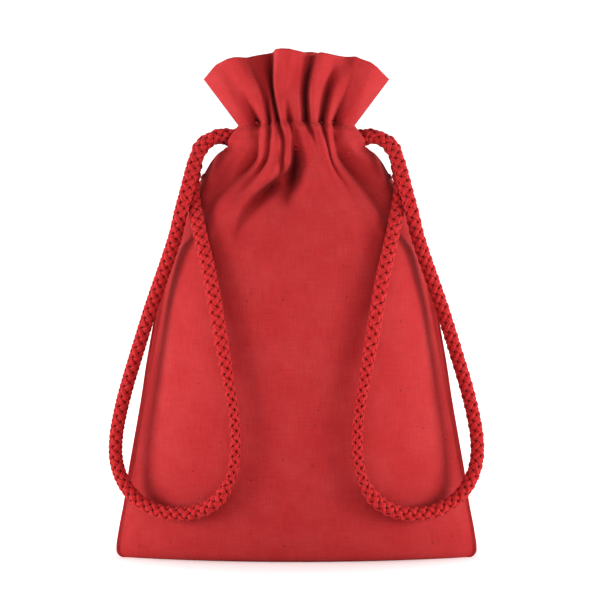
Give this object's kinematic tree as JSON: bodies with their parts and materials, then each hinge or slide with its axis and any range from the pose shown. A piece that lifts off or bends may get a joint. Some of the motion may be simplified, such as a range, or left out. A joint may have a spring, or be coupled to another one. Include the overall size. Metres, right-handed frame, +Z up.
{
  "type": "drawstring gift sack",
  "caption": "Filled cotton gift sack standing upright, its gathered neck drawn closed by braided cord loops that hang at each side, with a fluted frill above.",
  "frame": {"origin": "on the floor, under the middle of the standing base", "axes": "+Z up through the neck, front towards -Y, width along X"},
  "size_m": [0.138, 0.0613, 0.1889],
  "materials": {
    "body_cloth": "plain woven cotton, matt",
    "turned_in_cloth": "plain woven cotton, matt, turned inside",
    "braided_cord": "braided cotton, matt",
    "sewing_thread": "twisted thread, slight sheen"
  },
  "bodies": {
    "sack": {"front_panel": "body_cloth", "back_panel": "body_cloth", "base": "turned_in_cloth", "left_side_seam": "turned_in_cloth", "right_side_seam": "turned_in_cloth", "left_bar_tack": "sewing_thread", "right_bar_tack": "sewing_thread", "left_cord_turn": "braided_cord", "right_cord_turn": "braided_cord"},
    "front_collar": {"front_channel_outer": "body_cloth", "front_channel_inner": "turned_in_cloth", "front_frill": "body_cloth", "front_lower_stitching": "sewing_thread", "front_upper_stitching": "sewing_thread", "left_cord_front_run": "braided_cord", "right_cord_front_run": "braided_cord"},
    "back_collar": {"back_channel_outer": "body_cloth", "back_channel_inner": "turned_in_cloth", "back_frill": "body_cloth", "back_lower_stitching": "sewing_thread", "back_upper_stitching": "sewing_thread", "left_cord_back_run": "braided_cord", "right_cord_back_run": "braided_cord"},
    "left_loop": {"left_cord_loop": "braided_cord"},
    "right_loop": {"right_cord_loop": "braided_cord"}
  },
  "joints": [
    {"name": "mouth_open", "type": "slide", "parent": "sack", "child": "front_collar", "axis": [0, -1, 0], "range_m": [0, 0.012]},
    {"name": "mouth_open_back", "type": "slide", "parent": "sack", "child": "back_collar", "axis": [0, 1, 0], "range_m": [0, 0.012]},
    {"name": "left_loop_swing", "type": "hinge", "parent": "sack", "child": "left_loop", "pos_m": [-0.034, 0, 0.153], "axis": [0, 1, 0], "range_deg": [0, 100]},
    {"name": "right_loop_swing", "type": "hinge", "parent": "sack", "child": "right_loop", "pos_m": [0.034, 0, 0.153], "axis": [0, -1, 0], "range_deg": [0, 100]}
  ],
  "couplings": [
    {"joint": "mouth_open_back", "follows": "mouth_open", "ratio": 1}
  ]
}
